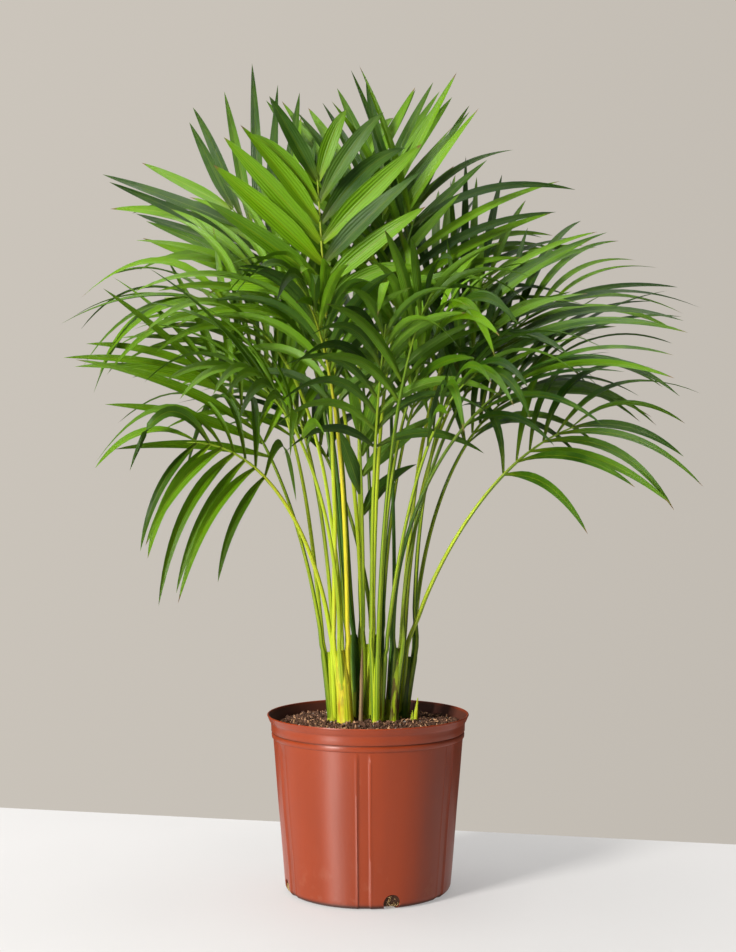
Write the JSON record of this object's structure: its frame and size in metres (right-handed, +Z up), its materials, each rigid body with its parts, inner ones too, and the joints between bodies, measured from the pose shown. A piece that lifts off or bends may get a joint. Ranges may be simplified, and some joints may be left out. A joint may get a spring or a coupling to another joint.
{
  "type": "potted palm",
  "caption": "Areca palm in a plain terracotta-coloured nursery grow pot: arching feather leaves on slender yellow-green canes, standing in potting mix",
  "frame": {"origin": "centre of the pot's underside, where it meets the surface it stands on", "axes": "+Z up through the pot's axis; -Y towards the viewer of the front, the side with the drain hole right of centre; +X to the viewer's right"},
  "size_m": [0.7829, 0.6441, 1.0755],
  "materials": {
    "pot_plastic": "satin moulded plastic",
    "potting_mix": "loose damp bark and peat",
    "cane_skin": "waxy stem",
    "dried_sheath": "dry papery sheath",
    "leaf": "waxy leaf",
    "young_leaf": "waxy young leaf"
  },
  "bodies": {
    "root": {"grow_pot": "pot_plastic", "soil": "potting_mix", "cane_left": "cane_skin", "cane_far_left": "cane_skin", "cane_behind": "cane_skin", "cane_centre": "cane_skin", "cane_front": "cane_skin", "cane_right": "cane_skin", "cane_far_right": "cane_skin", "cane_back": "cane_skin", "dried_stub": "dried_sheath", "sprout_tall": "cane_skin", "sprout_short": "cane_skin", "frond_top_centre": "young_leaf", "frond_top_left": "young_leaf", "frond_top_back": "young_leaf", "frond_top_ahead": "young_leaf", "frond_top_right": "young_leaf", "frond_right_upper": "leaf", "frond_right_steep": "leaf", "frond_right_high": "leaf", "frond_right_out": "leaf", "frond_right_mid": "leaf", "frond_right_low": "leaf", "frond_right_back": "leaf", "frond_right_front": "leaf", "frond_front_centre": "leaf", "frond_front_right": "leaf", "frond_front_left": "leaf", "frond_left_front": "leaf", "frond_left_low": "leaf", "frond_left_mid": "leaf", "frond_left_inner": "leaf", "frond_left_out": "leaf", "frond_left_high": "leaf", "frond_back_left": "leaf", "frond_back": "leaf", "frond_back_right": "leaf", "frond_back_low": "leaf", "frond_mid_left": "leaf", "frond_mid_right": "leaf", "frond_mid_front": "leaf", "frond_right_inner": "leaf", "frond_left_back": "leaf", "frond_young": "leaf"}
  },
  "joints": []
}
